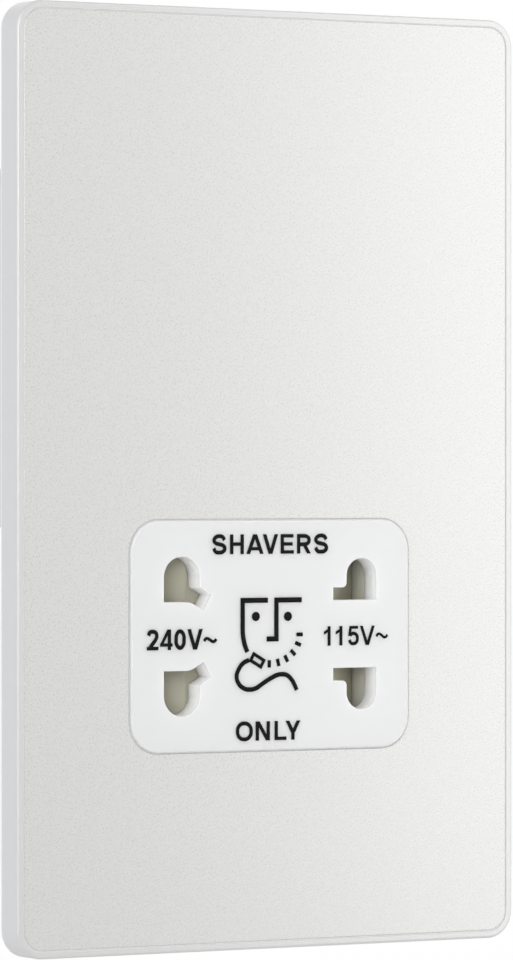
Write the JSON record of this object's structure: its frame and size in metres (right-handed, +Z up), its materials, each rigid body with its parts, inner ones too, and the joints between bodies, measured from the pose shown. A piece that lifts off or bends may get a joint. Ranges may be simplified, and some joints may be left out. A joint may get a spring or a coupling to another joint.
{
  "type": "shaver socket",
  "caption": "Upright dual-voltage shaver socket: framed clip-on plate, raised socket face with keyhole-shaped slots, sprung shutters, isolating transformer and rear terminals in a stepped housing.",
  "frame": {"origin": "midway between the two fixing holes, in the plane of the wall's surface, which is the back face of the frame", "axes": "+X to the right seen from the room, +Y into the wall, +Z up; the face looks along -Y"},
  "size_m": [0.095, 0.0438, 0.154],
  "materials": {
    "white_plastic": "satin",
    "pearl_plastic": "pearl",
    "shutter_plastic": "matte",
    "spring_steel": "bright drawn",
    "block_plastic": "matte",
    "contact_brass": "stamped",
    "switch_plastic": "matte",
    "plunger_plastic": "matte",
    "core_steel": "laminated",
    "strap_steel": "plated",
    "bobbin_plastic": "matte",
    "pin_tin": "tinned",
    "winding_copper": "enamelled wire",
    "tape_film": "film",
    "cutout_plastic": "sleeved",
    "housing_plastic": "matte",
    "screw_steel": "zinc plated",
    "terminal_brass": "extruded",
    "brown_sleeve": "smooth",
    "blue_sleeve": "smooth",
    "white_sleeve": "smooth",
    "red_sleeve": "smooth",
    "black_sleeve": "smooth"
  },
  "bodies": {
    "fixed_unit": {"base_frame": "white_plastic", "front_plate": "pearl_plastic", "socket_face": "white_plastic", "springs_240": "spring_steel", "springs_115": "spring_steel", "contact_block": "block_plastic", "contact_cover": "block_plastic", "contact_240": "contact_brass", "contact_115": "contact_brass", "contact_common": "contact_brass", "microswitch_240": "switch_plastic", "microswitch_115": "switch_plastic", "core_e_stack": "core_steel", "core_i_stack": "core_steel", "core_strap": "strap_steel", "bobbin": "bobbin_plastic", "bobbin_pins": "pin_tin", "primary_winding": "winding_copper", "secondary_winding": "winding_copper", "winding_tape": "tape_film", "thermal_cutout": "cutout_plastic", "rear_housing": "housing_plastic", "housing_screws": "screw_steel", "live_terminal": "terminal_brass", "earth_terminal": "terminal_brass", "neutral_terminal": "terminal_brass", "terminal_screws": "screw_steel", "live_lead": "brown_sleeve", "neutral_lead": "blue_sleeve", "primary_lead": "brown_sleeve", "switch_link_inner": "brown_sleeve", "switch_link_outer": "brown_sleeve", "lead_240": "white_sleeve", "lead_115": "red_sleeve", "lead_common": "black_sleeve"},
    "left_shutter": {"shutter_240": "shutter_plastic"},
    "right_shutter": {"shutter_115": "shutter_plastic"},
    "left_plunger": {"plunger_240": "plunger_plastic"},
    "right_plunger": {"plunger_115": "plunger_plastic"}
  },
  "joints": [
    {"name": "shutter_240_slide", "type": "slide", "parent": "fixed_unit", "child": "left_shutter", "axis": [1, 0, 0], "range_m": [0, 0.0088], "stiffness_N_per_m": 120, "springref_m": -0.002, "deforming": ["springs_240"]},
    {"name": "shutter_115_slide", "type": "slide", "parent": "fixed_unit", "child": "right_shutter", "axis": [-1, 0, 0], "range_m": [0, 0.0088], "stiffness_N_per_m": 120, "springref_m": -0.002, "deforming": ["springs_115"]},
    {"name": "plunger_240_press", "type": "slide", "parent": "fixed_unit", "child": "left_plunger", "axis": [0, 1, 0], "range_m": [0, 0.0009]},
    {"name": "plunger_115_press", "type": "slide", "parent": "fixed_unit", "child": "right_plunger", "axis": [0, 1, 0], "range_m": [0, 0.0009]}
  ],
  "couplings": [
    {"joint": "plunger_240_press", "follows": "shutter_240_slide", "ratio": 0.1},
    {"joint": "plunger_115_press", "follows": "shutter_115_slide", "ratio": 0.1}
  ]
}
